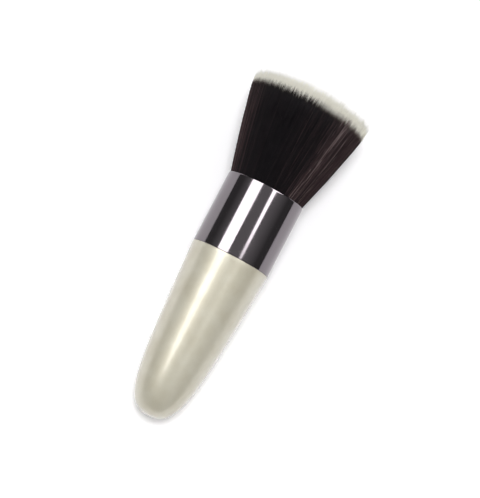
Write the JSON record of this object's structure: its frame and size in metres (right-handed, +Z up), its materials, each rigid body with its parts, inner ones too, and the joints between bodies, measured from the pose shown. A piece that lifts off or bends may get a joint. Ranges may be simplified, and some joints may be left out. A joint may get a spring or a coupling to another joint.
{
  "type": "kabuki makeup brush",
  "caption": "Flat-top kabuki makeup brush with a short pearl-lacquered rounded handle, a polished metal ferrule and a dense flared tuft of dark fibres with pale tips, lying on its side.",
  "frame": {"origin": "on the table under the middle of the whole brush as it lies on its side", "axes": "+X towards the bristle tips, +Z up from the table; the brush's own axis rises 6.2 degrees towards the tips because the head is wider than the handle"},
  "size_m": [0.1234, 0.0432, 0.0431],
  "materials": {
    "turned_birch": "turned, with grooved tenon",
    "pearl_lacquer": "pearl lacquer under clear coat",
    "wood_glue": "cured adhesive",
    "polished_aluminium": "polished and tinted",
    "epoxy_resin": "cast",
    "polyester_thread": "wound",
    "pbt_fibre": "dyed dark with undyed pale tips"
  },
  "bodies": {
    "root": {"handle_core": "turned_birch", "handle_lacquer": "pearl_lacquer", "tenon_glue": "wood_glue", "ferrule": "polished_aluminium", "root_resin": "epoxy_resin", "binding_thread": "polyester_thread", "fibre_tuft": "pbt_fibre"}
  },
  "joints": []
}
